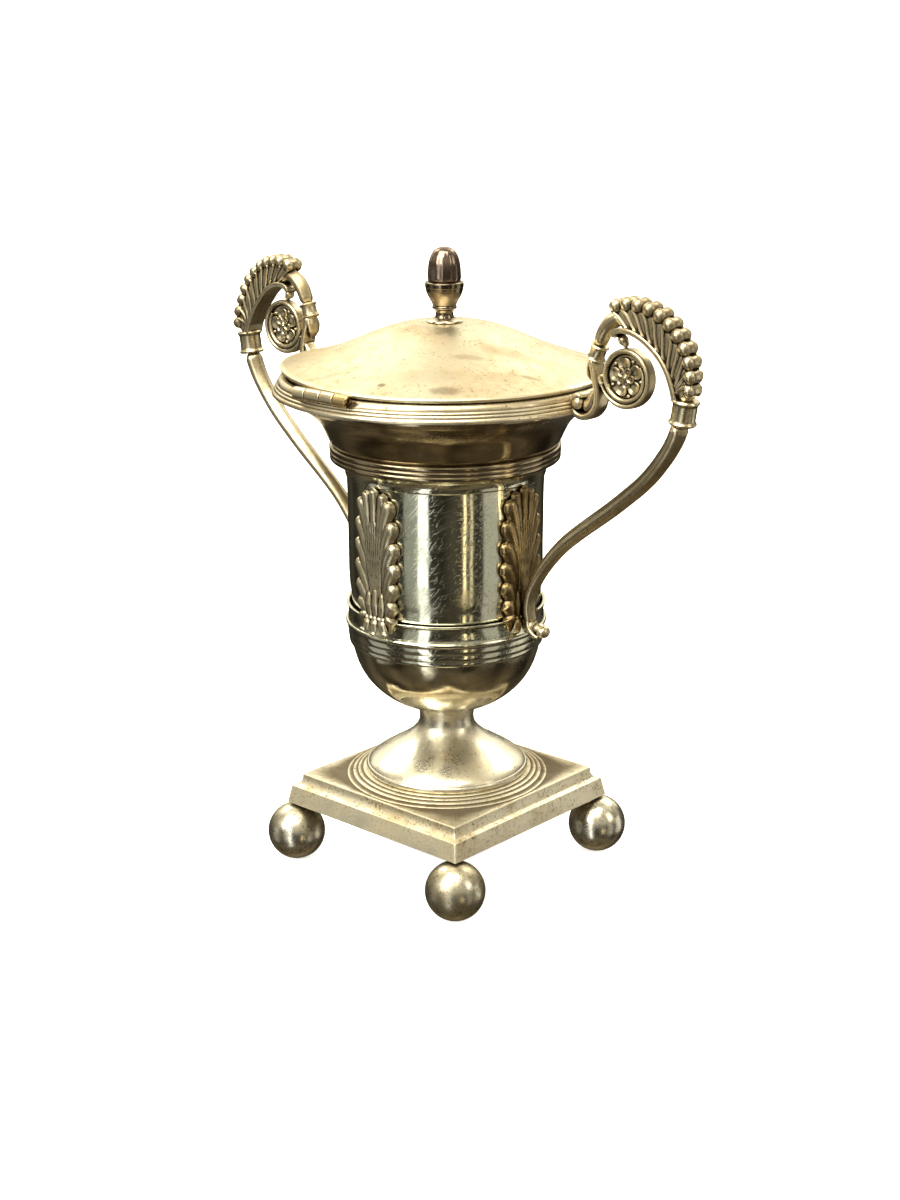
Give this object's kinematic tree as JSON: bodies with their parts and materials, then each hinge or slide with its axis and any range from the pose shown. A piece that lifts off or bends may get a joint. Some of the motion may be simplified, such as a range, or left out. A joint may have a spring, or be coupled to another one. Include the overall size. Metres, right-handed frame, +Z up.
{
  "type": "covered sugar bowl",
  "caption": "Vase-shaped covered bowl with a hinged domed lid, acorn finial and scrolled side handles, on a trumpet foot, square plinth and ball feet.",
  "frame": {"origin": "on the surface it stands on, under the middle of the square plinth", "axes": "+Z up along the axis of the vase, +X along the two handles, -Y towards the lid's hinge"},
  "size_m": [0.1524, 0.0861, 0.16],
  "materials": {
    "polished_silver": "polished, fine scratches, light tarnish",
    "satin_silver": "satin, speckled tarnish and small dents",
    "cast_silver": "cast and chased, dark tarnish in the hollows, bright edges",
    "tarnished_silver": "dark brown tarnish, worn bright on the edges",
    "hinge_brass": "dull"
  },
  "bodies": {
    "vessel": {"ball_foot_back_left": "satin_silver", "ball_foot_back_right": "satin_silver", "ball_foot_front_left": "satin_silver", "ball_foot_front_right": "satin_silver", "body": "polished_silver", "bowl_moulding": "polished_silver", "corner_gusset_back_left": "satin_silver", "corner_gusset_back_right": "satin_silver", "corner_gusset_front_left": "satin_silver", "corner_gusset_front_right": "satin_silver", "gallery_ring": "polished_silver", "handle_arm_collar_left": "cast_silver", "handle_arm_collar_right": "cast_silver", "handle_arm_left": "cast_silver", "handle_arm_right": "cast_silver", "handle_collar_left": "cast_silver", "handle_collar_right": "cast_silver", "handle_foot_left": "cast_silver", "handle_foot_right": "cast_silver", "handle_leaf_left": "cast_silver", "handle_leaf_right": "cast_silver", "handle_rod_left": "cast_silver", "handle_rod_right": "cast_silver", "handle_rosette_left": "cast_silver", "handle_rosette_right": "cast_silver", "handle_strap_left": "cast_silver", "handle_strap_right": "cast_silver", "handle_volute_left": "cast_silver", "handle_volute_right": "cast_silver", "hinge_knuckle_rim_inner": "satin_silver", "hinge_knuckle_rim_outer": "satin_silver", "hinge_pin": "hinge_brass", "lower_bowl": "polished_silver", "neck": "polished_silver", "neck_ring": "polished_silver", "palmette_back": "cast_silver", "palmette_front": "cast_silver", "palmette_left": "cast_silver", "palmette_right": "cast_silver", "pedestal": "polished_silver", "plinth": "satin_silver", "rim_border": "satin_silver", "tie_nut": "cast_silver", "tie_rod": "cast_silver", "tie_washer": "cast_silver"},
    "lid": {"finial_acorn": "tarnished_silver", "finial_cup": "tarnished_silver", "finial_nut": "cast_silver", "finial_seat": "satin_silver", "hinge_knuckle_lid_end": "hinge_brass", "hinge_knuckle_lid_inner": "satin_silver", "lid": "satin_silver", "lid_bezel": "polished_silver"}
  },
  "joints": [
    {"name": "lid_hinge", "type": "hinge", "parent": "vessel", "child": "lid", "pos_m": [0, -0.0416, 0.1292], "axis": [1, 0, 0], "range_deg": [0, 105]}
  ]
}
